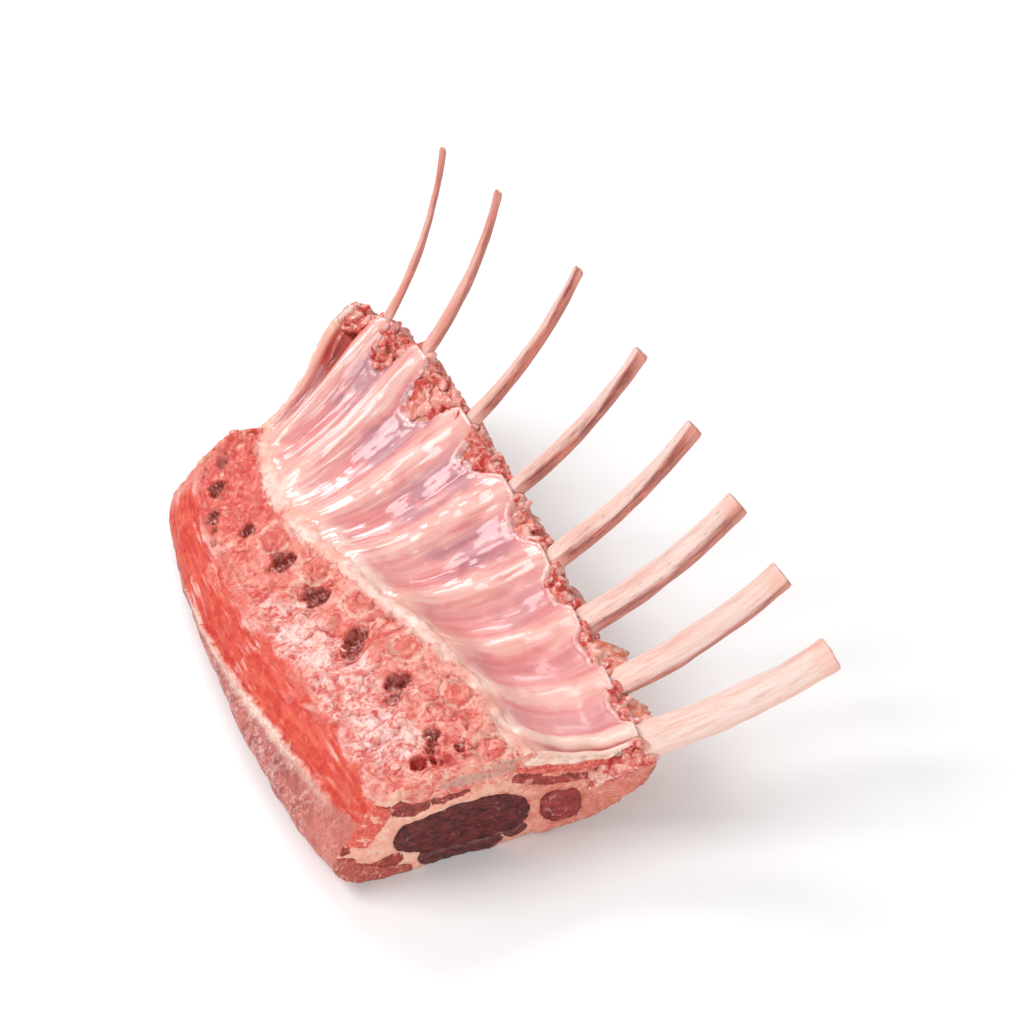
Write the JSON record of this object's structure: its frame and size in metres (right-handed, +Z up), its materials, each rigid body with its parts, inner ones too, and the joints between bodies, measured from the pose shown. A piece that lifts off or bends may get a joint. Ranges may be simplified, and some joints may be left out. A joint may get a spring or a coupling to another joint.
{
  "type": "raw rack of lamb",
  "caption": "Raw frenched rack of lamb lying on its outer side, with bared rib bones curving up from the meat.",
  "frame": {"origin": "bottom centre of the whole rack's box, on the surface it lies on", "axes": "+Y along the rack from the loin end to the shoulder end, +X from the backbone towards the rib tips, +Z up"},
  "size_m": [0.152, 0.182, 0.1033],
  "materials": {
    "meat_and_fat": "moist pink meat and pale fat under a thin translucent skin",
    "loin_eye": "dark maroon cut muscle with fine grain and small pale flecks",
    "rib_cap": "red cut muscle",
    "backbone": "sawn, grainy pink bone with red marrow and pale dust",
    "strap_muscle": "smooth moist red muscle with fine fibres",
    "flank_muscle": "dusky maroon muscle with thin white veins",
    "rib_bone": "scraped cream bone with fine lengthwise grain and pink ends"
  },
  "bodies": {
    "root": {"meat": "meat_and_fat", "loin_eye": "loin_eye", "rib_cap": "rib_cap", "backbone": "backbone", "strap_muscle": "strap_muscle", "flank_muscle": "flank_muscle", "rib_1": "rib_bone", "rib_2": "rib_bone", "rib_3": "rib_bone", "rib_4": "rib_bone", "rib_5": "rib_bone", "rib_6": "rib_bone", "rib_7": "rib_bone", "rib_8": "rib_bone"}
  },
  "joints": []
}
